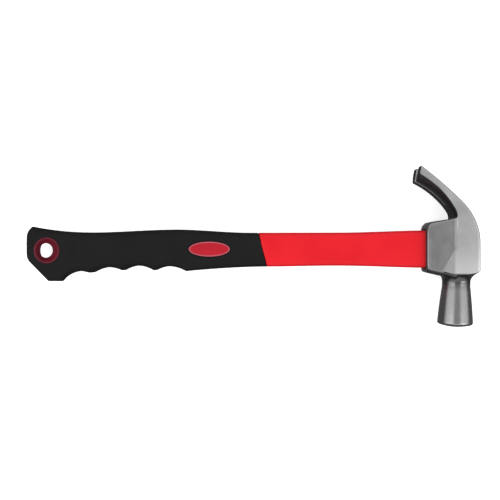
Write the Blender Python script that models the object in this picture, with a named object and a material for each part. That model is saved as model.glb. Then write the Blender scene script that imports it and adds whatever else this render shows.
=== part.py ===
"""Claw hammer on its side: forged head, glass-fibre core, red jacket, black grip and the trim on it.

+X runs along the handle towards the head, +Y towards the claw, +Z up. X is 0 on the poll's axis and
Y is 0 on the handle's axis. The origin is on the flat cheek that the head rests on, at Z 0.
Inside this script z is counted from the hammer's middle plane, and one empty lifts everything
by half the head's width.
"""

import math

import bmesh
import bpy
from mathutils import Vector

MM = 0.001

# fits
GAP = 0.3 * MM
RESIN_LAYER = 0.5 * MM
RESIN_BEAD = 0.5 * MM

# core of the handle
CORE_HEIGHT = 17.0 * MM
CORE_WIDTH = 11.0 * MM
CORE_CORNER = 5.0 * MM
CORE_SET_BACK = 1.0 * MM

# red jacket; a cover is how much plastic lies over the core's clearance
SLEEVE_WALL = 1.5 * MM
JACKET_END_WALL = 3.0 * MM
JACKET_HEAD_COVER = 4.6 * MM
JACKET_NECK_COVER = 3.2 * MM
JACKET_REAR_COVER = 3.9 * MM
JACKET_SIDE_COVER = 2.8 * MM
JACKET_HEAD_SIDE_COVER = 3.0 * MM
JACKET_CORNER = 3.6 * MM
TONGUE_LENGTH = 12.0 * MM
TONGUE_TAPER = 1.6 * MM

# head: the block round the eye
EYE_TOP = 14.3 * MM
MOUTH = 22.6 * MM
MOUTH_WALL_LOW = 1.8 * MM
MOUTH_WALL_HIGH = 2.0 * MM
MOUTH_WALL_SIDE = 2.6 * MM
MOUTH_CORNER = 5.5 * MM
LIP_LENGTH = 0.9 * MM
LIP_TOP_LENGTH = 2.8 * MM
LIP_RISE_LOW = 0.9 * MM
LIP_RISE_HIGH = 2.8 * MM
LIP_RISE_SIDE = 0.7 * MM
CHEEK_WALL = 5.1 * MM
CHEEK_WALL_LOW = 1.2 * MM
SOCKET_WALL_LOW = 6.8 * MM
SOCKET_WALL_HIGH = 7.4 * MM
SOCKET_BEVEL = 5.0 * MM
SOCKET_SEAT = 1.3 * MM
SOCKET_LIP_CORNER = 3.0 * MM
SOCKET_TOP_CORNER = 1.2 * MM
SOCKET_STEP = 0.05 * MM
SOCKET_INSET = 3.5 * MM
RIDGE = 3.5 * MM
CHEEK_HEEL = 11.6 * MM
CHEEK_SAG = 2.6 * MM
CHEEK_CORNER = 1.0 * MM
CHEEK_BACK_CORNER = (1.9 * MM, 1.2 * MM)

# head: the poll, from the neck down to the striking face
NECK_DIAMETER = 19.8 * MM
NECK_RISE = 7.9 * MM
FLARE_SHARPNESS = 1.8
NECK_LENGTH = 3.2 * MM
POLL_LENGTH = 27.5 * MM
POLL_CANT = math.radians(1.9)
POLL_PIVOT_SHARE = 0.4
FACE_DIAMETER = 25.4 * MM
FACE_CROWN = 1.6 * MM
FACE_CHAMFER = 1.1 * MM
FACE_FLAT = 4.0 * MM

# head: the claw
SHOULDER = 4.3 * MM
SHOULDER_RADIUS = 42.0 * MM
SHOULDER_TURN = math.radians(45.5)
BACK_RADIUS = 320.0 * MM
BACK_LENGTH = 38.2 * MM
ROOT = 3.0 * MM
ROOT_HEIGHT = 22.3 * MM
ROOT_RADIUS = 9.3 * MM
ROOT_TURN = math.radians(33.0)
HOOK_RADIUS = 60.0 * MM
HOOK_LENGTH = 32.8 * MM
CLAW_WAIST = 1.2 * MM
CLAW_BEVEL = 4.6 * MM
CLAW_BEVEL_WIDTH = 4.0 * MM
CLAW_BEVEL_FLATNESS = 0.85
CLAW_EDGE = 2.0 * MM
SLOT_LENGTH = 34.0 * MM
SLOT_TIP_WIDTH = 6.2 * MM
SLOT_ROOT_WIDTH = 2.6 * MM
SLOT_BEVEL = 1.2 * MM
SLOT_OVERRUN = 6.0 * MM
SLOT_REACH = 14.0 * MM

# black grip; distances along it are from the butt, and covers are rubber over the jacket's clearance
HANDLE_LENGTH = 314.7 * MM
GRIP_LENGTH = 175.2 * MM
GRIP_SLANT = 0.25
GRIP_LEAN_LENGTH = 20.0 * MM
GRIP_SIDE_COVER = 3.7 * MM
GRIP_END_STEP = 0.4 * MM
GRIP_CORNER = 5.0 * MM
BUTT_WIDTH = 11.4 * MM
BUTT_COVER = 6.5 * MM
BUTT_CHAMFER = 3.4 * MM
BUTT_EDGE = 1.2 * MM
HEEL_COVER = 13.2 * MM
HEEL_SIDE_COVER = -2.4 * MM
HEEL_START = 15.6 * MM
SWELL_START = 25.5 * MM
SWELL_LENGTH = 18.0 * MM
SLEEVE_START = 36.0 * MM
DIP = 51.0 * MM
DIP_COVER = 1.8 * MM
CREST = 112.0 * MM
CREST_COVER = 3.8 * MM
FRONT_TAPER = 9.0 * MM
FIRST_CUSP = 48.9 * MM
FINGER_PITCH = 23.5 * MM
CUSP_COVERS = (6.7 * MM, 5.0 * MM, 5.0 * MM, 5.5 * MM)
GROOVE_DEPTHS = (3.1 * MM, 3.5 * MM, 3.3 * MM)
HEEL_FINGER = 40.9 * MM
HEEL_FINGER_RADIUS = 18.0 * MM
HEEL_FINGER_COVER = 5.5 * MM

# hanging hole and its liner
HOLE = 13.2 * MM
HOLE_HEIGHT = -0.8 * MM
HOLE_DIAMETER = 10.8 * MM
HOLE_LAND = 1.8 * MM
LINER_DIAMETER = 18.4 * MM
LINER_RIM = 0.6 * MM
LINER_OFFSET = 2.3 * MM

# oval badges; the setback is from the grip's front end
BADGE_SETBACK = 38.2 * MM
BADGE_LENGTH = 29.8 * MM
BADGE_HEIGHT = 10.8 * MM
BADGE_DEPTH = 1.6 * MM
BADGE_DOME = 0.4 * MM

# how finely curved shapes are divided
END_STEPS = 3
CORNER_STEPS = 4
FLANK_STEPS = 8
ROUND_STEPS = 64
FLARE_STEPS = 7
POLL_STEPS = 10
CLAW_STEPS = 30
GROOVE_STEPS = 12

# what follows from the values above, from the core outwards
CORE_HALF = CORE_HEIGHT / 2 + GAP
CORE_SIDE = CORE_WIDTH / 2 + GAP
SLEEVE_HALF = CORE_HALF + SLEEVE_WALL
SLEEVE_SIDE = CORE_SIDE + SLEEVE_WALL
JACKET_HALF = CORE_HALF + JACKET_HEAD_COVER
JACKET_SIDE = CORE_SIDE + JACKET_HEAD_SIDE_COVER
EYE_SPARE = 2 * GAP + RESIN_LAYER
EYE_HALF = JACKET_HALF + EYE_SPARE
EYE_SIDE = JACKET_SIDE + EYE_SPARE
HALF_HEAD = EYE_SIDE + CHEEK_WALL
CHEEK_LOW = EYE_HALF + CHEEK_WALL_LOW
NECK_TOP = CHEEK_LOW + NECK_RISE
NECK_END = NECK_TOP + NECK_LENGTH
FACE_DISTANCE = NECK_END + POLL_LENGTH
POLL_PIVOT = NECK_END + POLL_LENGTH * POLL_PIVOT_SHARE
BUTT = -HANDLE_LENGTH
GRIP_END = GRIP_LENGTH - HANDLE_LENGTH
LAST_CUSP = FIRST_CUSP + FINGER_PITCH * len(GROOVE_DEPTHS)
GRIP_BASE = SLEEVE_HALF + GAP
GRIP_SIDE = SLEEVE_SIDE + GAP + GRIP_SIDE_COVER
JACKET_REAR_SIDE = CORE_SIDE + JACKET_SIDE_COVER


# ---------------------------------------------------------------- scene and materials


def clear_scene():
    for old in list(bpy.data.objects):
        bpy.data.objects.remove(old, do_unlink=True)


def material(name, colour, roughness, metallic):
    made = bpy.data.materials.new(name)
    made.use_nodes = True
    shader = made.node_tree.nodes["Principled BSDF"]
    shader.inputs["Base Color"].default_value = (*colour, 1.0)
    shader.inputs["Roughness"].default_value = roughness
    shader.inputs["Metallic"].default_value = metallic
    return made


def lifted_frame():
    """The empty that everything hangs on, on the hammer's middle plane."""
    frame = bpy.data.objects.new("hammer_frame", None)
    bpy.context.scene.collection.objects.link(frame)
    frame.location = (0.0, 0.0, HALF_HEAD)
    return frame


def add_object(name, mesh, frame, finish=None):
    made = bpy.data.objects.new(name, mesh)
    bpy.context.scene.collection.objects.link(made)
    made.parent = frame
    if finish:
        mesh.materials.append(finish)
    mesh.shade_smooth()
    mesh.set_sharp_from_angle(angle=math.radians(35.0))
    return made


def cut(target, cutter, operation="DIFFERENCE"):
    """Booleans target with cutter, which the finished part leaves out."""
    change = target.modifiers.new(cutter.name, "BOOLEAN")
    change.operation = operation
    change.solver = "EXACT"
    change.object = cutter
    cutter.hide_render = True
    cutter.display_type = "WIRE"


# ---------------------------------------------------------------- sections and lofts


def half_outline(half, width, low_corner, high_corner, low_flat):
    """(along, across) pairs from the high end's middle to the low end's, round one side.

    low_flat 0 rounds the low corner and 1 makes it a flat chamfer.
    """
    low_along, low_across = low_corner
    high_along, high_across = high_corner
    pairs = []
    for step in range(END_STEPS):
        pairs.append((half, (width - high_across) * step / END_STEPS))
    for step in range(CORNER_STEPS):
        turn = math.pi / 2 * step / CORNER_STEPS
        along = half - high_along + high_along * math.cos(turn)
        pairs.append((along, width - high_across + high_across * math.sin(turn)))
    start, stop = half - high_along, low_along - half
    for step in range(FLANK_STEPS):
        pairs.append((start + (stop - start) * step / FLANK_STEPS, width))
    for step in range(CORNER_STEPS):
        share = step / CORNER_STEPS
        drop = between(math.sin(math.pi / 2 * share), share, low_flat)
        inset = between(1 - math.cos(math.pi / 2 * share), share, low_flat)
        pairs.append((low_along - half - low_along * drop, width - low_across * inset))
    for step in range(END_STEPS + 1):
        pairs.append((-half, (width - low_across) * (1 - step / END_STEPS)))
    return pairs


def section(low, high, width, low_corner, high_corner=None, squareness=1.0, sag=0.0, low_flat=0.0):
    """A ring round the line from low to high in the middle plane, width to each side of it.

    squareness 1 is a rectangle with rounded corners and 0 an ellipse. sag bows the ring to the
    right of that line's direction, most at its middle.
    """
    low = Vector((*low, 0.0))
    high = Vector((*high, 0.0))
    centre = (low + high) / 2
    half = (high - low).length / 2
    along = (high - low).normalized()
    aside = Vector((along.y, -along.x, 0.0))
    pairs = half_outline(half, width, low_corner, high_corner or low_corner, low_flat)
    mixed = []
    for index, (a, b) in enumerate(pairs):
        turn = math.pi * index / (len(pairs) - 1)
        round_a, round_b = half * math.cos(turn), width * math.sin(turn)
        mixed.append((round_a + (a - round_a) * squareness, round_b + (b - round_b) * squareness))
    mixed += [(a, -b) for a, b in reversed(mixed[1:-1])]
    ring = []
    for a, b in mixed:
        bow = sag * (1 - (a / half) ** 2)
        ring.append(centre + along * a + aside * bow + Vector((0.0, 0.0, b)))
    return ring


def upright(x, low, high, width, corner, slant=0.0):
    """A section across the handle at x, which may lean along the handle with height."""
    corners = (min(corner, (high - low) * 0.48), min(corner, width * 0.96))
    return section((x - slant * low, low), (x - slant * high, high), width, corners)


def loft(name, rings, ends="caps"):
    """A closed mesh through rings of the same count, capped, or joined end to end as a tube."""
    body = bmesh.new()
    rows = [[body.verts.new(point) for point in ring] for ring in rings]
    pairs = list(zip(rows, rows[1:]))
    if ends == "tube":
        pairs.append((rows[-1], rows[0]))
    for one, two in pairs:
        for i in range(len(one)):
            j = (i + 1) % len(one)
            body.faces.new((one[i], one[j], two[j], two[i]))
    if ends == "caps":
        body.faces.new(list(reversed(rows[0])))
        body.faces.new(rows[-1])
    bmesh.ops.recalc_face_normals(body, faces=body.faces)
    mesh = bpy.data.meshes.new(name)
    body.to_mesh(mesh)
    body.free()
    return mesh


def ellipse_ring(x, y, z, half_length, half_height):
    ring = []
    for step in range(ROUND_STEPS):
        turn = 2 * math.pi * step / ROUND_STEPS
        ring.append(Vector((x + half_length * math.cos(turn), y + half_height * math.sin(turn), z)))
    return ring


def ease(t):
    t = min(max(t, 0.0), 1.0)
    return t * t * (3 - 2 * t)


def between(a, b, t):
    return a + (b - a) * t


# ---------------------------------------------------------------- head


def arc_from(point, heading, radius, length):
    """Where a left-hand arc ends that starts at point, heading so far round from +Y to -X."""
    turned = heading + length / radius
    x = point[0] - radius * (math.cos(heading) - math.cos(turned))
    y = point[1] + radius * (math.sin(turned) - math.sin(heading))
    return (x, y), turned


def claw_back(t):
    """The convex side from the shoulder to the tip, t from 0 to 1."""
    shoulder_length = SHOULDER_RADIUS * SHOULDER_TURN
    run = t * (shoulder_length + BACK_LENGTH)
    bend, heading = arc_from((EYE_TOP, SHOULDER), 0.0, SHOULDER_RADIUS, min(run, shoulder_length))
    if run <= shoulder_length:
        return bend
    return arc_from(bend, heading, BACK_RADIUS, run - shoulder_length)[0]


def claw_hook(t):
    """The concave side, up from the shoulder's height past the root to the tip."""
    rise = ROOT_HEIGHT - SHOULDER
    root_length = ROOT_RADIUS * ROOT_TURN
    run = t * (rise + root_length + HOOK_LENGTH)
    if run <= rise:
        return (-between(RIDGE, ROOT, run / rise), SHOULDER + run)
    root, heading = arc_from((-ROOT, ROOT_HEIGHT), 0.0, ROOT_RADIUS, min(run - rise, root_length))
    if run <= rise + root_length:
        return root
    return arc_from(root, heading, HOOK_RADIUS, run - rise - root_length)[0]


def poll_middle(distance):
    """The middle of the poll at a distance from the handle's axis, along the canted poll axis."""
    return Vector((-math.sin(POLL_CANT) * (distance - POLL_PIVOT), -distance))


def poll_section(distance, radius):
    """A round section square to the poll's axis."""
    middle = poll_middle(distance)
    across = Vector((math.cos(POLL_CANT), -math.sin(POLL_CANT))) * radius
    corner = (radius / 2, radius / 2)
    return section(middle - across, middle + across, radius, corner, squareness=0.0)


def poll_radius(distance):
    """The poll's radius at a distance from the handle's axis, from the neck to the face."""
    t = (distance - NECK_END) / POLL_LENGTH
    return between(NECK_DIAMETER, FACE_DIAMETER, t * (1.3 - 0.3 * t)) / 2


def poll_rings():
    """From the flat in the middle of the striking face up to the neck."""
    rings = []
    rim = FACE_DIAMETER / 2 - FACE_CHAMFER
    for share in (0.0, 0.3, 0.6, 0.82, 1.0):
        radius = between(FACE_FLAT, rim, share)
        fall = (radius**2 - FACE_FLAT**2) / (rim**2 - FACE_FLAT**2)
        rings.append(poll_section(FACE_DISTANCE + FACE_CROWN * (1 - fall), radius))
    for step in range(POLL_STEPS + 1):
        distance = between(FACE_DISTANCE - FACE_CHAMFER, NECK_END, step / POLL_STEPS)
        rings.append(poll_section(distance, poll_radius(distance)))
    rings.append(poll_section(NECK_TOP, NECK_DIAMETER / 2))
    return rings


def flare_rings():
    """Where the round neck opens out into the cheeks."""
    neck = NECK_DIAMETER / 2
    middle = poll_middle(NECK_TOP).x
    rings = []
    for step in range(1, FLARE_STEPS):
        t = step / FLARE_STEPS
        distance = between(NECK_TOP, CHEEK_LOW, t)
        low = (between(middle - neck, -CHEEK_HEEL, t * t), -distance)
        high = (between(middle + neck, EYE_TOP, t * t), -distance)
        width = between(neck, HALF_HEAD, t**FLARE_SHARPNESS)
        corner = (between(neck, CHEEK_CORNER, t) / 2,) * 2
        sag = CHEEK_SAG * t**3
        rings.append(section(low, high, width, corner, squareness=t**1.35, sag=sag))
    return rings


def cheek_rings():
    """The flat-sided block from the cheeks' lower edge to the shoulder."""
    corner = (CHEEK_CORNER, CHEEK_CORNER)
    rings = []
    levels = ((0.0, 1.0, 1.0), (0.15, 0.84, 0.6), (0.3, 0.62, 0.3), (0.62, 0.16, 0.0), (0.8, 0.0, 0.0))
    for share, heel, sag in levels:
        y = between(-CHEEK_LOW, SHOULDER, share)
        low = (-between(RIDGE, CHEEK_HEEL, heel), y)
        rings.append(section(low, (EYE_TOP, y), HALF_HEAD, corner, CHEEK_BACK_CORNER, sag=sag * CHEEK_SAG))
    return rings


def claw_rings():
    """From the shoulder over to the tips of the claw."""
    rings = []
    for step in range(CLAW_STEPS + 1):
        t = step / CLAW_STEPS
        width = HALF_HEAD - CLAW_WAIST * math.sin(math.pi * ease(t * 1.1)) ** 2
        grown = ease(t / 0.35)
        hook_corner = (
            between(CHEEK_CORNER, CLAW_BEVEL, t * t),
            between(CHEEK_CORNER, CLAW_BEVEL_WIDTH, grown),
        )
        back_corner = [between(size, CLAW_EDGE * (1 - 0.4 * t), grown) for size in CHEEK_BACK_CORNER]
        flat = CLAW_BEVEL_FLATNESS * grown
        rings.append(section(claw_hook(t), claw_back(t), width, hook_corner, back_corner, low_flat=flat))
    return rings


def socket_section(x, low, high, width, bevel, top_corner):
    return section((x, -low), (x, high), width, bevel, (top_corner, top_corner))


def socket_mesh():
    """The collar that reaches back round the handle, with a bevelled lip at its mouth."""
    low, high = EYE_HALF + MOUTH_WALL_LOW, EYE_HALF + MOUTH_WALL_HIGH
    side = EYE_SIDE + MOUTH_WALL_SIDE
    root_low, root_high = EYE_HALF + SOCKET_WALL_LOW, EYE_HALF + SOCKET_WALL_HIGH
    bevel = (SOCKET_BEVEL * 0.7, SOCKET_BEVEL)
    rings = [socket_section(-MOUTH, low, high, side, (MOUTH_CORNER, MOUTH_CORNER), MOUTH_CORNER)]
    share = LIP_LENGTH / LIP_TOP_LENGTH
    lip = [low + LIP_RISE_LOW * share, high + LIP_RISE_HIGH * share, side + LIP_RISE_SIDE]
    rings.append(socket_section(LIP_LENGTH - MOUTH, *lip, bevel, SOCKET_LIP_CORNER))
    for t in (0.0, 0.33, 0.67, 1.0):
        x = between(LIP_TOP_LENGTH - MOUTH, SOCKET_SEAT - RIDGE, t)
        bottom = between(low + LIP_RISE_LOW, root_low, t)
        top = between(high + LIP_RISE_HIGH, root_high, t)
        width = between(side + LIP_RISE_SIDE, HALF_HEAD - SOCKET_STEP, t)
        top_corner = between(SOCKET_LIP_CORNER, SOCKET_TOP_CORNER, t)
        rings.append(socket_section(x, bottom, top, width, bevel, top_corner))
    buried = [size - SOCKET_INSET for size in (root_low, root_high, HALF_HEAD)]
    rings.append(socket_section(SOCKET_INSET - RIDGE, *buried, bevel, SOCKET_TOP_CORNER))
    return loft("socket", rings)


def eye_wall(t, inset=0.0):
    """The eye's half height, half width and corner, from 0 at the mouth to 1 at the top."""
    waist = 0.5
    if t <= waist:
        shrink = TONGUE_TAPER * ease(t / waist)
    else:
        shrink = TONGUE_TAPER * (1 - 0.45 * ease((t - waist) / (1 - waist)))
    return EYE_HALF - shrink - inset, EYE_SIDE - shrink - inset, JACKET_CORNER + EYE_SPARE - inset


def eye_section(x, t, inset=0.0):
    half, width, corner = eye_wall(t, inset)
    return upright(x, -half, half, width, corner)


def eye_place(t):
    return between(-MOUTH, EYE_TOP, t)


def eye_cutter_mesh():
    rings = []
    for t in (-0.1, 0.01, 0.15, 0.3, 0.5, 0.65, 0.8, 0.99, 1.1):
        rings.append(eye_section(eye_place(t), min(max(t, 0.0), 1.0)))
    return loft("eye_space", rings)


def slot_outline(extra, length):
    """(along, half width) round the wedge, with a rounded root."""
    root = SLOT_ROOT_WIDTH / 2 + extra
    end = length + SLOT_OVERRUN
    side = [(end, root + (SLOT_TIP_WIDTH - SLOT_ROOT_WIDTH) / 2 * end / length)]
    for step in range(5):
        turn = math.pi / 2 * step / 4
        side.append((-root * math.sin(turn), root * math.cos(turn)))
    return side + [(along, -half) for along, half in reversed(side[:-1])]


def slot_mesh():
    """A drafted wedge between the claws, wider on their convex side."""
    root_t = 1 - SLOT_LENGTH / (SHOULDER_RADIUS * SHOULDER_TURN + BACK_LENGTH)
    tip = (Vector(claw_back(1.0)) + Vector(claw_hook(1.0))) / 2
    root = (Vector(claw_back(root_t)) + Vector(claw_hook(root_t))) / 2
    run = (tip - root).normalized()
    out = Vector((run.y, -run.x))
    rings = []
    for side, extra in ((-SLOT_REACH, -SLOT_ROOT_WIDTH / 4), (0.0, 0.0), (SLOT_REACH, SLOT_BEVEL)):
        ring = []
        for along, half in slot_outline(extra, (tip - root).length):
            point = root + run * along + out * side
            ring.append(Vector((point.x, point.y, half)))
        rings.append(ring)
    return loft("claw_slot", rings)


def build_head(frame, steel):
    rings = poll_rings() + flare_rings() + cheek_rings() + claw_rings()
    head = add_object("hammer_head", loft("hammer_head", rings), frame, steel)
    cut(head, add_object("socket", socket_mesh(), frame), "UNION")
    cut(head, add_object("eye_space", eye_cutter_mesh(), frame))
    cut(head, add_object("claw_slot", slot_mesh(), frame))


# ---------------------------------------------------------------- handle


def core_section(x, grow=0.0, slant=0.0):
    half = CORE_HEIGHT / 2 + grow
    return upright(x, -half, half, CORE_WIDTH / 2 + grow, CORE_CORNER + grow, slant)


def sleeve_section(x, clearance=0.0, slant=0.0):
    """The jacket's thinner stretch that the grip covers."""
    return core_section(x, GAP + SLEEVE_WALL + clearance, slant)


def core_end():
    """Where the core stops, short of the grip's hanging hole."""
    return BUTT + SLEEVE_START + JACKET_END_WALL + GAP


def build_core(frame, fibre):
    stations = [core_end(), GRIP_END, -MOUTH, EYE_TOP - CORE_SET_BACK]
    core = loft("handle_core", [core_section(x) for x in stations])
    add_object("handle_core", core, frame, fibre)


def jacket_heights(t):
    """The jacket's depth and height from the axis, t from 0 at the grip to 1 at the mouth."""
    swell = ease((t - 0.48) / 0.52)
    top = between(JACKET_NECK_COVER, JACKET_HEAD_COVER, swell)
    low = between(JACKET_NECK_COVER, JACKET_HEAD_COVER, swell)
    low += (JACKET_REAR_COVER - JACKET_NECK_COVER) * (1 - ease(t / 0.45))
    return CORE_HALF + low, CORE_HALF + top


def jacket_section(t, slant=0.0):
    x = between(GRIP_END + GAP, -MOUTH, t)
    low, top = jacket_heights(t)
    width = between(JACKET_REAR_SIDE, JACKET_SIDE, ease(t))
    return upright(x, -low, top, width, JACKET_CORNER, slant)


def tongue_place(t):
    return -MOUTH + TONGUE_LENGTH * t


def tongue_section(t, clearance=0.0):
    """The jacket inside the eye, t from 0 at the mouth to 1 at its end."""
    share = TONGUE_LENGTH * t / (MOUTH + EYE_TOP)
    return eye_section(tongue_place(t), share, EYE_SPARE - clearance)


def build_jacket(frame, red):
    shoulder = GRIP_END + GAP
    rings = [sleeve_section(BUTT + SLEEVE_START), sleeve_section(GRIP_END - GRIP_LEAN_LENGTH)]
    rings.append(sleeve_section(shoulder, slant=GRIP_SLANT))
    for step in range(11):
        t = step / 10
        rings.append(jacket_section(t, GRIP_SLANT * max(0.0, 1 - 4 * t)))
    rings += [tongue_section(t) for t in (0.33, 0.67, 1.0)]
    bore_end = core_end() - GAP
    rings += [core_section(x, GAP) for x in (tongue_place(1.0), -MOUTH, GRIP_END, bore_end)]
    add_object("handle_jacket", loft("handle_jacket", rings), frame, red)


def grip_top(g):
    """Height of the grip's upper line at g from the butt: a dip behind the palm's crest."""
    front_start = GRIP_LENGTH - FRONT_TAPER
    if g <= DIP:
        t = max(0.0, (g - BUTT_CHAMFER) / (DIP - BUTT_CHAMFER))
        chamfer = max(0.0, BUTT_CHAMFER - g)
        return GRIP_BASE + between(BUTT_COVER, DIP_COVER, 1 - (1 - t) ** 2) - chamfer
    if g <= CREST:
        return GRIP_BASE + between(DIP_COVER, CREST_COVER, ease((g - DIP) / (CREST - DIP)))
    front = jacket_heights(0.0)[1]
    return between(GRIP_BASE + CREST_COVER, front, ease((g - CREST) / (front_start - CREST)))


def heel_groove_cover(g):
    """The cover in the round groove between the heel and the first cusp."""
    reach = HEEL_FINGER_RADIUS**2 - (g - HEEL_FINGER) ** 2
    if reach <= 0:
        return HEEL_COVER
    return min(HEEL_COVER, HEEL_FINGER_COVER + HEEL_FINGER_RADIUS - math.sqrt(reach))


def finger_cover(g):
    """The cover in the finger grooves, each dished between two cusps."""
    count = (g - FIRST_CUSP) / FINGER_PITCH
    index = min(int(count), len(GROOVE_DEPTHS) - 1)
    t = count - index
    level = between(CUSP_COVERS[index], CUSP_COVERS[index + 1], t)
    return level - GROOVE_DEPTHS[index] * 4 * t * (1 - t)


def grip_low(g):
    """Height of the grip's lower line at g: the sloped heel, finger grooves, then a slow rise."""
    if g <= HEEL_START:
        return -GRIP_BASE - between(HEEL_SIDE_COVER, HEEL_COVER, g / HEEL_START)
    if g >= LAST_CUSP:
        t = (g - LAST_CUSP) / (GRIP_LENGTH - LAST_CUSP)
        front = jacket_heights(0.0)[0]
        return -between(GRIP_BASE + CUSP_COVERS[-1], front, 1 - (1 - min(t, 1.0)) ** 1.6)
    cover = finger_cover(g) if g >= FIRST_CUSP else heel_groove_cover(g)
    return -GRIP_BASE - cover


def badge_place():
    return GRIP_END - BADGE_SETBACK


def grip_side(g):
    """Half the grip's width at g: slim at the butt, full in the palm, down to the jacket in front."""
    swell = between(BUTT_WIDTH / 2, GRIP_SIDE, ease((g - SWELL_START) / SWELL_LENGTH))
    taper_start = GRIP_LENGTH - BADGE_SETBACK + BADGE_LENGTH / 2 + GAP
    front = ease((g - taper_start) / (GRIP_LENGTH - taper_start))
    return between(swell, JACKET_REAR_SIDE + GRIP_END_STEP, front)


def grip_section(g, slant=0.0, inset=0.0):
    low, high = grip_low(g) + inset, grip_top(g) - inset
    return upright(BUTT + g, low, high, grip_side(g) - inset, GRIP_CORNER, slant)


def grip_stations():
    """Where the grip's sections stand: at each corner of its outline, and closely in the grooves."""
    drop = HEEL_COVER - HEEL_FINGER_COVER
    heel_end = HEEL_FINGER - math.sqrt(HEEL_FINGER_RADIUS**2 - (HEEL_FINGER_RADIUS - drop) ** 2)
    cusps = [FIRST_CUSP + FINGER_PITCH * i for i in range(len(CUSP_COVERS))]
    stops = [BUTT_EDGE, BUTT_CHAMFER, HEEL_START, heel_end] + cusps + [GRIP_LENGTH]
    counts = [1, 4, 3, GROOVE_STEPS] + [GROOVE_STEPS] * len(GROOVE_DEPTHS) + [10]
    stations = []
    for start, stop, count in zip(stops, stops[1:], counts):
        stations += [between(start, stop, step / count) for step in range(count)]
    return stations + [GRIP_LENGTH]


def build_grip(frame, rubber):
    rings = [grip_section(0.0, inset=BUTT_EDGE), grip_section(BUTT_EDGE * 0.3, inset=BUTT_EDGE * 0.3)]
    for g in grip_stations():
        lean = GRIP_SLANT * max(0.0, 1 - (GRIP_LENGTH - g) / GRIP_LEAN_LENGTH)
        rings.append(grip_section(g, lean))
    rings.append(sleeve_section(GRIP_END, GAP, GRIP_SLANT))
    bore_end = BUTT + SLEEVE_START - GAP
    rings += [sleeve_section(x, GAP) for x in (GRIP_END - GRIP_LEAN_LENGTH, bore_end)]
    grip = add_object("grip_sleeve", loft("grip_sleeve", rings), frame, rubber)
    reach = GRIP_SIDE * 2
    radius = LINER_DIAMETER / 2 + GAP
    hole = [ellipse_ring(liner_place(), HOLE_HEIGHT, z, radius, radius) for z in (-reach, reach)]
    cut(grip, add_object("hang_hole", loft("hang_hole", hole), frame))
    for name, side in (("pocket_left", -1), ("pocket_right", 1)):
        pocket = badge_mesh(name, GAP, side * (GRIP_SIDE - BADGE_DEPTH), side * reach)
        cut(grip, add_object(name, pocket, frame))


def build_resin(frame, resin):
    """The resin round the tongue and the core, from a bead at the mouth to the top of the eye."""
    top = EYE_TOP - CORE_SET_BACK
    top_t = (top + MOUTH) / (EYE_TOP + MOUTH)
    outer = [eye_section(-MOUTH - RESIN_BEAD, 0.0, GAP)]
    outer += [eye_section(eye_place(t), t, GAP) for t in (0.0, 0.15, 0.3, 0.5, 0.65, 0.8, top_t)]
    inner = [core_section(x, GAP) for x in (top, tongue_place(1.0) + GAP)]
    inner += [tongue_section(t, GAP) for t in (1.0 + GAP / TONGUE_LENGTH, 0.67, 0.33, 0.0)]
    inner.append(eye_section(-MOUTH - RESIN_BEAD, 0.0, GAP + RESIN_LAYER))
    add_object("eye_resin", loft("eye_resin", outer + inner, "tube"), frame, resin)


# ---------------------------------------------------------------- trim


def liner_place():
    return BUTT + HOLE + LINER_OFFSET


def build_liner(frame, red):
    """The ring that lines the hanging hole, dished from both sides to a short off-centre land."""
    outer = LINER_DIAMETER / 2
    bore = HOLE_DIAMETER / 2
    face = BUTT_WIDTH / 2
    land = HOLE_LAND / 2
    neck = bore + (outer - bore) * 0.3
    profile = [
        (outer, -face, 0.0),
        (outer, face, 0.0),
        (outer - LINER_RIM, face, 0.0),
        (neck, between(land, face, 0.45), 0.8),
        (bore, land, 1.0),
        (bore, -land, 1.0),
        (neck, -between(land, face, 0.45), 0.8),
        (outer - LINER_RIM, -face, 0.0),
    ]
    rings = []
    for radius, z, shift in profile:
        x = liner_place() - LINER_OFFSET * shift
        rings.append(ellipse_ring(x, HOLE_HEIGHT, z, radius, radius))
    add_object("hang_hole_liner", loft("hang_hole_liner", rings, "tube"), frame, red)


def badge_mesh(name, grow, floor, edge, dome=None):
    """An oval plate from floor to edge, with a dome on it if dome gives the height of its middle."""
    length, height = BADGE_LENGTH / 2 + grow, BADGE_HEIGHT / 2 + grow
    rings = [ellipse_ring(badge_place(), 0.0, z, length, height) for z in (floor, edge)]
    if dome is not None:
        for share in (0.9, 0.7, 0.4):
            z = between(dome, edge, share**2)
            rings.append(ellipse_ring(badge_place(), 0.0, z, length * share, height * share))
    return loft(name, rings)


def build_badges(frame, red):
    for name, side in (("badge_left", -1), ("badge_right", 1)):
        floor = side * (GRIP_SIDE - BADGE_DEPTH + GAP)
        dome = side * (GRIP_SIDE + BADGE_DOME)
        add_object(name, badge_mesh(name, 0.0, floor, side * GRIP_SIDE, dome), frame, red)


def build_hammer():
    clear_scene()
    frame = lifted_frame()
    build_head(frame, material("forged_steel", (0.36, 0.36, 0.37), 0.38, 1.0))
    build_core(frame, material("glass_fibre", (0.75, 0.62, 0.32), 0.55, 0.0))
    build_jacket(frame, material("red_plastic", (0.86, 0.02, 0.03), 0.35, 0.0))
    build_grip(frame, material("black_rubber", (0.013, 0.013, 0.013), 0.7, 0.0))
    build_resin(frame, material("resin", (0.1, 0.09, 0.08), 0.4, 0.0))
    trim = material("dark_red_plastic", (0.58, 0.015, 0.035), 0.4, 0.0)
    build_liner(frame, trim)
    build_badges(frame, trim)
    bpy.context.view_layer.update()


build_hammer()
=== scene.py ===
"""Looks of the claw hammer: forged steel, moulded red plastic, stippled rubber and its red trim."""

import math

import bmesh
import bpy
import numpy as np
from mathutils import Matrix, Vector


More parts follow.
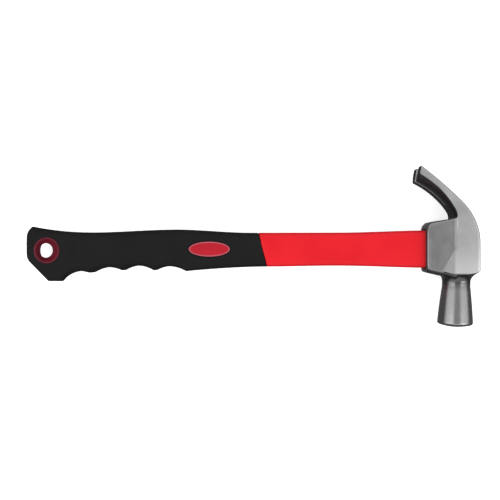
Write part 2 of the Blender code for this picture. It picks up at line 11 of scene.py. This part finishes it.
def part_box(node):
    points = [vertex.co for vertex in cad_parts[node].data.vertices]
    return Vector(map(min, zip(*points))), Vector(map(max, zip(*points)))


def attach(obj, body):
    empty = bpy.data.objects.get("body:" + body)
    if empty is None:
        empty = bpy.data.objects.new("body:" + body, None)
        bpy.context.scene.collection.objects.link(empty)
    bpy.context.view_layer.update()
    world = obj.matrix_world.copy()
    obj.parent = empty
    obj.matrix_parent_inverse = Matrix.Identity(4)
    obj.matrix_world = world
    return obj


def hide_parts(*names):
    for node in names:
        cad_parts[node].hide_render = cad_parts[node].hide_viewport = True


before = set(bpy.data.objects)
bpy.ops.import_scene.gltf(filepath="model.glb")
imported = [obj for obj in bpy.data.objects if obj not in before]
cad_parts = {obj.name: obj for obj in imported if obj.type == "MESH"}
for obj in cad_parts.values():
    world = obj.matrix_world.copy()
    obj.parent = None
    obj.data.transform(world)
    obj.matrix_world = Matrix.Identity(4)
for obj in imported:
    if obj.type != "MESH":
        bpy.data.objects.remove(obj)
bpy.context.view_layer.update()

MM = 0.001
# the height of the plane between the hammer's two sides
MIDDLE = 15.0 * MM

# how far each step of the smoothing moves a point towards its neighbours' middle, then back
PULL_IN = 0.5
PUSH_OUT = -0.52

# where the steel's painted light and shade and the poll's smoother finish change, each as a start
# and an end; the heel's edge leans by HEEL_LEAN over HEEL_RUN; TOWARDS_HOOK and TOWARDS_POLL are
# the ways the surfaces with painted shade face
RIDGE = (-4.4 * MM, -2.9 * MM)
HEEL_RUN = -20.0 * MM
HEEL_LEAN = 10.0 * MM
LOW_CHEEK = (2.0 * MM, -15.0 * MM)
CLAW = (20.0 * MM, 22.0 * MM)
HOOK = (19.5 * MM, 22.5 * MM)
PRONGS = (21.0 * MM, 30.0 * MM)
POLL = (-16.8 * MM, -18.2 * MM)
BARREL = (-21.5 * MM, -31.0 * MM)
TOWARDS_HOOK = (-0.7, -0.7, 0.0)
TOWARDS_POLL = (0.0, -1.0, 0.0)

# steel colours
GROUND_GREYS = (0.37, 0.371, 0.375), (0.42, 0.421, 0.425)
# painted light low on the cheek
LOW_CHEEK_PAINTED_LIGHT = (0.50, 0.501, 0.505)
# painted shade on the claw's prongs
PRONG_PAINTED_SHADE = (0.35, 0.351, 0.354)
# painted shade: the collar's facets, darker than the ground steel
COLLAR_PAINTED_SHADE_GREYS = (0.21, 0.211, 0.215), (0.255, 0.256, 0.26)
# painted shade on the heel facet, lighter than the collar's
HEEL_PAINTED_SHADE = (0.34, 0.341, 0.345)
# painted shade under the cheeks and on the neck
NECK_AND_UNDERSIDE_SHADE = (0.085, 0.085, 0.088)
BARREL_GREY = (0.29, 0.291, 0.295)
SPECK_GREY = (0.2, 0.2, 0.205)
# painted shade on the claw's hollow inner face
HOOK_PAINTED_SHADE_GREYS = (0.028, 0.028, 0.03), (0.05, 0.049, 0.05)

# plastic, rubber, trim, resin and core colours
JACKET_REDS = (0.60, 0.007, 0.014), (0.66, 0.010, 0.018)
RUBBER_BLACKS = (0.0062, 0.0062, 0.0064), (0.0094, 0.0094, 0.0096)
# the liner's own red, darkened with painted shade of the dished hole
LINER_SHADED_REDS = (0.085, 0.004, 0.012), (0.13, 0.007, 0.018)
BADGE_REDS = (0.36, 0.004, 0.014), (0.41, 0.006, 0.018)
# painted highlight round the badges' edges
PAINTED_HIGHLIGHT_PINK = (0.42, 0.085, 0.11)
RESIN_BROWNS = (0.012, 0.010, 0.010), (0.03, 0.026, 0.024)
FIBRE_YELLOWS = (0.42, 0.33, 0.16), (0.72, 0.62, 0.38)

# the hanging hole's liner, whose bore lies off its middle, towards the butt
LINER_STEPS = 96
BORE_OFFSET = 2.3 * MM
BORE_RADIUS = 5.4 * MM
HALF_LAND = 0.9 * MM

# the oval badges; the edge goes over a bead and a groove, as inset and rise in millimetres
OVAL_STEPS = 128
OVAL_CROWN = 0.4 * MM
# how far in from the badge's edge the painted highlight lies
OVAL_HIGHLIGHT_INSET = 0.9 * MM
OVAL_TIP = 0.02
OVAL_EDGE = [(0.0, -0.15), (0.12, 0.06), (0.45, 0.2), (0.8, 0.1)]
OVAL_EDGE += [(1.05, -0.14), (1.35, -0.05), (1.8, 0.08)]
CROWN_STEPS = 12

# the stage; the sky's light changes between heights that run from 0 at the horizon to 1 overhead
FLOOR_HUB = 0.01
FLOOR_CORNER = 1.0
FLOOR_WALL = 4.0
FLOOR_STEPS = 64
CORNER_STEPS = 12
FLOOR_DROP = 0.2 * MM
FLOOR_GREY = (0.94, 0.94, 0.94, 1.0)
FLOOR_GLOW = 0.55
WHITE = (1.0, 1.0, 1.0, 1.0)
HORIZON = (-0.05, 0.35)
OVERHEAD = (0.86, 0.97)
SOFTBOX_AIM = Vector((-0.1, 0.0, 0.0))
CAMERA_SPOT = Vector((-0.11944, -0.00423, 0.535))
CAMERA_AIM = Vector((-0.14884, -0.00056, MIDDLE))
CAMERA_LENS = 51.02
CAMERA_SENSOR = 36.0


# ---------------------------------------------------------------- meshes


def add(name, mesh, body="root"):
    made = bpy.data.objects.new(name, mesh)
    bpy.context.scene.collection.objects.link(made)
    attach(made, body)
    return made


def relax(mesh, passes):
    """Evens out a dense mesh without shrinking it, by pulling it in and pushing it out in turn."""
    count = len(mesh.vertices)
    points = np.zeros(count * 3)
    mesh.vertices.foreach_get("co", points)
    points = points.reshape(-1, 3)
    pairs = np.zeros(len(mesh.edges) * 2, np.int64)
    mesh.edges.foreach_get("vertices", pairs)
    one, two = pairs.reshape(-1, 2).T
    degree = np.bincount(one, minlength=count) + np.bincount(two, minlength=count)
    for step in range(passes * 2):
        total = np.empty_like(points)
        for axis in range(3):
            total[:, axis] = np.bincount(one, points[two, axis], count)
            total[:, axis] += np.bincount(two, points[one, axis], count)
        pull = PULL_IN if step % 2 == 0 else PUSH_OUT
        points += pull * (total / degree[:, None] - points)
    mesh.vertices.foreach_set("co", points.ravel())
    mesh.update()


def refined(node, name, voxel, passes):
    """A dense, softly rounded copy of a CAD node that stands for it."""
    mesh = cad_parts[node].data.copy()
    body = bmesh.new()
    body.from_mesh(mesh)
    bmesh.ops.remove_doubles(body, verts=body.verts, dist=1e-6)
    body.to_mesh(mesh)
    body.free()
    coarse = bpy.data.objects.new(name + "_coarse", mesh)
    bpy.context.scene.collection.objects.link(coarse)
    fine = coarse.modifiers.new("fine", "REMESH")
    fine.mode = "VOXEL"
    fine.voxel_size = voxel
    graph = bpy.context.evaluated_depsgraph_get()
    dense = bpy.data.meshes.new_from_object(coarse.evaluated_get(graph))
    bpy.data.objects.remove(coarse)
    dense.materials.clear()
    relax(dense, passes)
    dense.shade_smooth()
    made = add(name, dense)
    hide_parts(node)
    return made


# ---------------------------------------------------------------- materials


def set_range(ramp, low, high, to_low, to_high):
    ends = {"From Min": low, "From Max": high, "To Min": to_low, "To Max": to_high}
    for key, value in ends.items():
        ramp.inputs[key].default_value = value


class Finish:
    """A procedural material that is built up around one Principled shader."""

    def __init__(self, name):
        self.material = bpy.data.materials.new(name)
        self.material.use_nodes = True
        self.tree = self.material.node_tree
        self.shader = self.tree.nodes["Principled BSDF"]
        coordinates = self.node("ShaderNodeTexCoord")
        self.place = coordinates.outputs["Object"]
        self.normal = coordinates.outputs["Normal"]

    def node(self, kind, **settings):
        made = self.tree.nodes.new(kind)
        for key, value in settings.items():
            setattr(made, key, value)
        return made

    def link(self, source, target):
        self.tree.links.new(source, target)

    def put(self, **values):
        for key, value in values.items():
            self.shader.inputs[key.replace("_", " ")].default_value = value

    def scaled(self, scale):
        """Object coordinates stretched by a factor for each axis."""
        made = self.node("ShaderNodeMapping")
        self.link(self.place, made.inputs["Vector"])
        made.inputs["Scale"].default_value = scale
        return made.outputs["Vector"]

    def noise(self, scale, detail=3.0, roughness=0.55, place=None):
        made = self.node("ShaderNodeTexNoise")
        self.link(place or self.place, made.inputs["Vector"])
        made.inputs["Scale"].default_value = scale
        made.inputs["Detail"].default_value = detail
        made.inputs["Roughness"].default_value = roughness
        return made.outputs["Fac"]

    def cells(self, scale):
        made = self.node("ShaderNodeTexVoronoi", feature="F1")
        self.link(self.place, made.inputs["Vector"])
        made.inputs["Scale"].default_value = scale
        return made.outputs["Distance"]

    def spread(self, value, low, high, to_low=0.0, to_high=1.0, smooth=False):
        """Maps low to high onto to_low to to_high, and stops at both."""
        made = self.node("ShaderNodeMapRange")
        made.interpolation_type = "SMOOTHSTEP" if smooth else "LINEAR"
        self.link(value, made.inputs["Value"])
        set_range(made, low, high, to_low, to_high)
        return made.outputs["Result"]

    def patches(self, noise, to_low=0.0, to_high=1.0):
        """A noise's middle range, where nearly all of it lies, mapped onto a wider one."""
        return self.spread(noise, 0.3, 0.7, to_low, to_high)

    def calc(self, one, operation, two):
        made = self.node("ShaderNodeMath", operation=operation)
        for slot, value in zip(made.inputs, (one, two)):
            if isinstance(value, (int, float)):
                slot.default_value = value
            else:
                self.link(value, slot)
        return made.outputs[0]

    def mix(self, share, one, two):
        """Mixes two colours, each a tuple or an output."""
        made = self.node("ShaderNodeMix", data_type="RGBA")
        self.link(share, made.inputs["Factor"])
        for key, value in ((6, one), (7, two)):
            if isinstance(value, tuple):
                made.inputs[key].default_value = (*value, 1.0)
            else:
                self.link(value, made.inputs[key])
        return made.outputs[2]

    def axis(self, name):
        made = self.node("ShaderNodeSeparateXYZ")
        self.link(self.place, made.inputs[0])
        return made.outputs[name]

    def facing(self, way, low, high):
        """1 where the surface faces a direction of the object's own frame, 0 where it doesn't."""
        made = self.node("ShaderNodeVectorMath", operation="DOT_PRODUCT")
        self.link(self.normal, made.inputs[0])
        made.inputs[1].default_value = way
        return self.spread(made.outputs["Value"], low, high, smooth=True)

    def bump(self, *layers):
        """Stacks (height, depth in metres) layers on the shader's normal."""
        normal = None
        for height, depth in layers:
            made = self.node("ShaderNodeBump")
            made.inputs["Strength"].default_value = 1.0
            made.inputs["Distance"].default_value = depth
            self.link(height, made.inputs["Height"])
            if normal:
                self.link(normal, made.inputs["Normal"])
            normal = made.outputs["Normal"]
        self.link(normal, self.shader.inputs["Normal"])

    def parting_line(self, inner, outer):
        """1 on the middle plane, falling to 0 between two distances from it."""
        off = self.calc(self.calc(self.axis("Z"), "SUBTRACT", MIDDLE), "ABSOLUTE", 0.0)
        return self.spread(off, inner, outer, 1.0, 0.0, smooth=True)

    def colour(self, output):
        self.link(output, self.shader.inputs["Base Color"])

    def roughness(self, output):
        self.link(output, self.shader.inputs["Roughness"])

    def on(self, obj, slot):
        obj.data.materials.clear()
        obj.data.materials.append(self.material)


def steel():
    """Ground cheeks and claw and a turned poll, with painted shade on the collar, heel, prongs,
    neck, faces towards the poll and the hook's inner face, and painted light low on the cheek.
    """
    made = Finish("forged_steel")
    made.put(Metallic=1.0)
    across, along = made.axis("X"), made.axis("Y")
    cloud = made.noise(70.0, 4.0)
    streak = made.noise(1.0, 3.0, 0.6, made.scaled((2600.0, 160.0, 2600.0)))
    speck = made.noise(1500.0, 2.0, 0.5)
    patchy = made.patches(cloud)

    ground = made.mix(patchy, *GROUND_GREYS)
    # painted light: the cheek grows lighter lower down, towards the poll
    ground = made.mix(made.spread(along, *LOW_CHEEK, smooth=True), ground, LOW_CHEEK_PAINTED_LIGHT)
    # painted shade: the prongs grow darker towards their tips
    ground = made.mix(made.spread(along, *PRONGS, smooth=True), ground, PRONG_PAINTED_SHADE)

    # painted shade on the collar's facets, with random patches
    shaded_collar = made.mix(patchy, *COLLAR_PAINTED_SHADE_GREYS)
    # painted shade, lighter than the collar's, on the heel facet, whose edge leans
    leaning = made.calc(made.spread(along, 0.0, HEEL_RUN, 0.0, HEEL_LEAN), "ADD", across)
    shaded_collar = made.mix(made.spread(leaning, *RIDGE, smooth=True), shaded_collar, HEEL_PAINTED_SHADE)

    cheek = made.spread(across, *RIDGE, smooth=True)
    claw = made.spread(along, *CLAW, smooth=True)
    base = made.mix(made.calc(cheek, "MAXIMUM", claw), shaded_collar, ground)
    # painted shade on every surface that faces the poll, such as the under-bevel below the cheeks
    base = made.mix(made.facing(TOWARDS_POLL, 0.2, 0.5), base, NECK_AND_UNDERSIDE_SHADE)
    poll = made.spread(along, *POLL, smooth=True)
    # painted shade: a dark band on the neck just below the cheek, fading into the barrel's grey
    shaded_barrel = made.mix(made.spread(along, *BARREL, smooth=True), NECK_AND_UNDERSIDE_SHADE, BARREL_GREY)
    base = made.mix(poll, base, shaded_barrel)
    base = made.mix(made.spread(speck, 0.55, 0.8, 0.0, 0.35), base, SPECK_GREY)
    # painted shade on the claw's hollow inner face, which is also made rougher
    hook_shade = made.facing(TOWARDS_HOOK, 0.16, 0.4)
    hook_shade = made.calc(hook_shade, "MULTIPLY", made.spread(along, *HOOK))
    made.colour(made.mix(hook_shade, base, made.mix(patchy, *HOOK_PAINTED_SHADE_GREYS)))

    grain = made.calc(made.patches(streak, 0.33, 0.43), "ADD", made.patches(cloud, 0.0, 0.07))
    grain = made.calc(grain, "SUBTRACT", made.calc(poll, "MULTIPLY", 0.19))
    made.roughness(made.calc(grain, "ADD", made.calc(hook_shade, "MULTIPLY", 0.12)))
    made.bump((cloud, 0.12 * MM), (streak, 0.012 * MM), (speck, 0.012 * MM))
    return made


def red_plastic():
    """Smooth moulded jacket with a faint parting line on its middle plane."""
    made = Finish("moulded_red")
    cloud = made.noise(45.0, 3.0)
    grain = made.noise(1400.0, 2.0)
    made.colour(made.mix(made.patches(cloud), *JACKET_REDS))
    made.roughness(made.patches(grain, 0.34, 0.44))
    made.put(Specular_IOR_Level=0.16)
    made.bump((made.parting_line(0.12 * MM, 0.3 * MM), 0.08 * MM), (grain, 0.01 * MM))
    return made


def rubber():
    """Soft black rubber with a fine stipple and a parting line."""
    made = Finish("black_rubber")
    cloud = made.noise(55.0, 4.0)
    stipple = made.cells(1000.0)
    made.colour(made.mix(made.patches(cloud), *RUBBER_BLACKS))
    made.roughness(made.patches(cloud, 0.62, 0.74))
    made.put(Specular_IOR_Level=0.1)
    made.bump((made.parting_line(0.15 * MM, 0.35 * MM), 0.1 * MM), (stipple, 0.16 * MM))
    return made


def trim_red(name, dark, light):
    """Smooth moulded trim between two close reds."""
    made = Finish(name)
    cloud = made.noise(120.0, 3.0)
    grain = made.noise(1800.0, 2.0)
    made.colour(made.mix(made.patches(cloud), dark, light))
    made.roughness(made.patches(grain, 0.34, 0.46))
    made.put(Specular_IOR_Level=0.2)
    made.bump((grain, 0.012 * MM))
    return made


def badge_red(low, high):
    """Trim red with a painted highlight, a paler pink, round the edge of the oval that fills a box.
    """
    made = trim_red("badge_red", *BADGE_REDS)
    place = (low.x + high.x) / 2
    half_length, half_height = (high.x - low.x) / 2, (high.y - low.y) / 2
    x = made.calc(made.calc(made.axis("X"), "SUBTRACT", place), "DIVIDE", half_length - OVAL_HIGHLIGHT_INSET)
    y = made.calc(made.axis("Y"), "DIVIDE", half_height - OVAL_HIGHLIGHT_INSET)
    out = made.calc(made.calc(x, "POWER", 2.0), "ADD", made.calc(y, "POWER", 2.0))
    middle = made.shader.inputs["Base Color"].links[0].from_socket
    # painted highlight: a paler pink ring round the badge's edge, over its bead
    made.colour(made.mix(made.spread(out, 0.94, 1.08, smooth=True), middle, PAINTED_HIGHLIGHT_PINK))
    return made


def resin():
    """Dark cast adhesive, a little uneven."""
    made = Finish("cast_resin")
    cloud = made.noise(300.0, 3.0)
    made.colour(made.mix(cloud, *RESIN_BROWNS))
    made.roughness(made.patches(cloud, 0.35, 0.55))
    made.bump((cloud, 0.08 * MM))
    return made


def fibre():
    """The core's cut end, with glass strands seen end on."""
    made = Finish("glass_fibre")
    strands = made.noise(1.0, 2.0, 0.5, made.scaled((120.0, 2500.0, 2500.0)))
    made.colour(made.mix(made.spread(strands, 0.35, 0.65), *FIBRE_YELLOWS))
    made.roughness(made.patches(strands, 0.5, 0.7))
    made.bump((strands, 0.04 * MM))
    return made


# ---------------------------------------------------------------- trim


def skin(body, rows):
    """Faces between rings of the same count, each with the next."""
    for one, two in zip(rows, rows[1:]):
        for i in range(len(one)):
            j = (i + 1) % len(one)
            body.faces.new((one[i], one[j], two[j], two[i]))


def closed(name, rings, capped):
    """A closed body through rings: capped at its two ends, or joined end to end as a tube."""
    body = bmesh.new()
    rows = [[body.verts.new(point) for point in ring] for ring in rings]
    skin(body, rows if capped else rows + rows[:1])
    if capped:
        body.faces.new(rows[0])
        body.faces.new(rows[-1])
    bmesh.ops.recalc_face_normals(body, faces=body.faces)
    return finished(name, body)


def finished(name, body):
    mesh = bpy.data.meshes.new(name)
    body.to_mesh(mesh)
    body.free()
    mesh.shade_smooth()
    return mesh


def oval(x, y, z, half_length, half_height, steps):
    """Points round a level ellipse."""
    points = []
    for step in range(steps):
        turn = 2 * math.pi * step / steps
        spot = (x + half_length * math.cos(turn), y + half_height * math.sin(turn), z)
        points.append(Vector(spot))
    return points


def catmull_point(a, b, c, d, t):
    """The point a share t of the way from b to c, on the curve through a, b, c and d."""
    out = []
    for p, q, r, s in zip(a, b, c, d):
        bend = (2 * p - 5 * q + 4 * r - s) * t**2 + (3 * q - p - 3 * r + s) * t**3
        out.append(0.5 * (2 * q + (r - p) * t + bend))
    return tuple(out)


def catmull(points, parts):
    """Points along a smooth open curve through the given points."""
    padded = [points[0]] + list(points) + [points[-1]]
    out = []
    for a, b, c, d in zip(padded, padded[1:], padded[2:], padded[3:]):
        out += [catmull_point(a, b, c, d, step / parts) for step in range(parts)]
    return out + [points[-1]]


def liner():
    """The hanging hole's ring, rolled over at both faces and dished to a land near the butt."""
    low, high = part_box("hang_hole_liner")
    centre = (low + high) / 2
    outer = (high.x - low.x) / 2
    face = (high.z - low.z) / 2
    neck = BORE_RADIUS + (outer - BORE_RADIUS) * 0.3
    # radius, height over the middle, and share of the offset towards the butt
    half = [
        (outer, face - 0.6 * MM, 0.0),
        (outer + 0.42 * MM, face - 0.25 * MM, 0.0),
        (outer + 0.2 * MM, face + 0.1 * MM, 0.0),
        (outer - 0.7 * MM, face - 0.05 * MM, 0.0),
        (neck + 0.9 * MM, face * 0.66, 0.5),
        (neck, face * 0.45, 0.8),
        (BORE_RADIUS, HALF_LAND, 1.0),
    ]
    smooth = catmull(half, 6)
    profile = smooth + [(radius, -z, shift) for radius, z, shift in reversed(smooth)]
    rings = []
    for radius, z, shift in profile:
        x = centre.x - BORE_OFFSET * shift
        rings.append(oval(x, centre.y, centre.z + z, radius, radius, LINER_STEPS))
    made = add("hole_liner", closed("hole_liner", rings, capped=False))
    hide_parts("hang_hole_liner")
    return made


def badge(node, name):
    """An oval plate with a rounded bead, a fine groove inside it and a crowned middle."""
    low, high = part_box(node)
    up = 1 if low.z > MIDDLE else -1
    back, dome = (low.z, high.z) if up > 0 else (high.z, low.z)
    centre = (low + high) / 2
    length, height = (high.x - low.x) / 2, (high.y - low.y) / 2
    edge = dome - up * OVAL_CROWN

    def ring(z, half_length, half_height):
        return oval(centre.x, centre.y, z, half_length, half_height, OVAL_STEPS)

    rings = [ring(back, share * length, share * height) for share in (OVAL_TIP, 0.5)]
    rings.append(ring(back, length, height))
    for inset, rise in catmull(OVAL_EDGE, 5):
        rings.append(ring(edge + up * rise * MM, length - inset * MM, height - inset * MM))
    last_inset, start = (value * MM for value in OVAL_EDGE[-1])
    for step in range(1, CROWN_STEPS):
        share = 1 - step / CROWN_STEPS
        rise = start + (OVAL_CROWN - start) * (1 - share**2)
        across = share * (height - last_inset)
        rings.append(ring(edge + up * rise, share * (length - last_inset), across))
    rings.append(ring(dome, OVAL_TIP * length, OVAL_TIP * height))
    made = add(name, closed(name, rings, capped=True))
    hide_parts(node)
    return made


# ---------------------------------------------------------------- stage, light and camera


def floor():
    """A plain pale floor that curves up into a backdrop all round and glows a little, evenly."""
    inner = FLOOR_WALL - FLOOR_CORNER
    profile = [(FLOOR_HUB, 0.0), (inner, 0.0)]
    for step in range(1, CORNER_STEPS + 1):
        turn = math.pi / 2 * step / CORNER_STEPS
        radius = inner + FLOOR_CORNER * math.sin(turn)
        profile.append((radius, FLOOR_CORNER - FLOOR_CORNER * math.cos(turn)))
    profile.append((FLOOR_WALL, FLOOR_WALL))
    body = bmesh.new()
    rows = []
    for radius, z in profile:
        ring = oval(0.0, 0.0, z, radius, radius, FLOOR_STEPS)
        rows.append([body.verts.new(point) for point in ring])
    body.faces.new(rows[0])
    skin(body, [row[::-1] for row in rows])
    made = bpy.data.objects.new("studio_floor", finished("studio_floor", body))
    bpy.context.scene.collection.objects.link(made)
    made.location.z = -FLOOR_DROP
    made.visible_glossy = False
    made.visible_diffuse = False
    made.visible_shadow = False
    pale = Finish("pale_floor")
    pale.put(Base_Color=FLOOR_GREY, Roughness=1.0, Specular_IOR_Level=0.0)
    pale.put(Emission_Color=WHITE, Emission_Strength=FLOOR_GLOW)
    made.data.materials.append(pale.material)


def sky(strength, ground, zenith):
    """An even white dome, dim below the horizon and in a small round gap overhead."""
    world = bpy.data.worlds.new("studio")
    bpy.context.scene.world = world
    world.use_nodes = True
    tree = world.node_tree
    place = tree.nodes.new("ShaderNodeTexCoord").outputs["Generated"]
    split = tree.nodes.new("ShaderNodeSeparateXYZ")
    tree.links.new(place, split.inputs[0])
    ramps = []
    for low, high, to_low, to_high in ((*HORIZON, ground, strength), (*OVERHEAD, 1.0, zenith)):
        ramp = tree.nodes.new("ShaderNodeMapRange")
        ramp.interpolation_type = "SMOOTHSTEP"
        tree.links.new(split.outputs["Z"], ramp.inputs["Value"])
        set_range(ramp, low, high, to_low, to_high)
        ramps.append(ramp.outputs["Result"])
    both = tree.nodes.new("ShaderNodeMath")
    both.operation = "MULTIPLY"
    for ramp, target in zip(ramps, both.inputs):
        tree.links.new(ramp, target)
    tree.nodes["Background"].inputs["Color"].default_value = WHITE
    tree.links.new(both.outputs[0], tree.nodes["Background"].inputs["Strength"])


def softbox(name, spot, size, power):
    data = bpy.data.lights.new(name, "AREA")
    data.shape = "RECTANGLE"
    data.size, data.size_y = size
    data.energy = power
    made = bpy.data.objects.new(name, data)
    bpy.context.scene.collection.objects.link(made)
    made.location = spot
    made.visible_camera = False
    made.rotation_euler = (SOFTBOX_AIM - Vector(spot)).to_track_quat("-Z", "Y").to_euler()


def camera():
    """Looks straight down on the hammer from half a metre, aimed a little towards the grip."""
    data = bpy.data.cameras.new("camera")
    made = bpy.data.objects.new("camera", data)
    bpy.context.scene.collection.objects.link(made)
    data.sensor_width = CAMERA_SENSOR
    data.lens = CAMERA_LENS
    ahead = (CAMERA_AIM - CAMERA_SPOT).normalized()
    right = ahead.cross(Vector((0, 1, 0))).normalized()
    up = right.cross(ahead)
    turned = Matrix((right, up, -ahead)).transposed().to_4x4()
    made.matrix_world = Matrix.Translation(CAMERA_SPOT) @ turned
    bpy.context.scene.camera = made


# ---------------------------------------------------------------- the hammer


def dress():
    """Puts the detailed pieces and the finishes on the frame."""
    head = refined("hammer_head", "forged_head", voxel=0.44 * MM, passes=5)
    jacket = refined("handle_jacket", "moulded_jacket", voxel=0.7 * MM, passes=5)
    grip = refined("grip_sleeve", "rubber_grip", voxel=0.55 * MM, passes=2)
    steel().on(head, "head_steel")
    red_plastic().on(jacket, "jacket_red")
    rubber().on(grip, "grip_rubber")
    # the liner's red is its own red with the dished hole's shade painted in
    trim_red("liner_red", *LINER_SHADED_REDS).on(liner(), "trim_red")
    oval_red = badge_red(*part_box("badge_right"))
    oval_red.on(badge("badge_left", "oval_left"), "trim_red")
    oval_red.on(badge("badge_right", "oval_right"), "trim_red")
    for node, finish in (("eye_resin", resin()), ("handle_core", fibre())):
        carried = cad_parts[node]
        carried.data.materials.clear()
        carried.data.materials.append(finish.material)


bpy.context.scene.view_settings.view_transform = "Standard"
dress()
floor()
sky(strength=1.3, ground=0.18, zenith=0.44)
softbox("softbox_right", spot=(1.05, -0.4, 1.1), size=(0.4, 1.0), power=5.0)
softbox("softbox_left", spot=(-1.05, -0.2, 1.0), size=(0.4, 1.2), power=2.5)
camera()
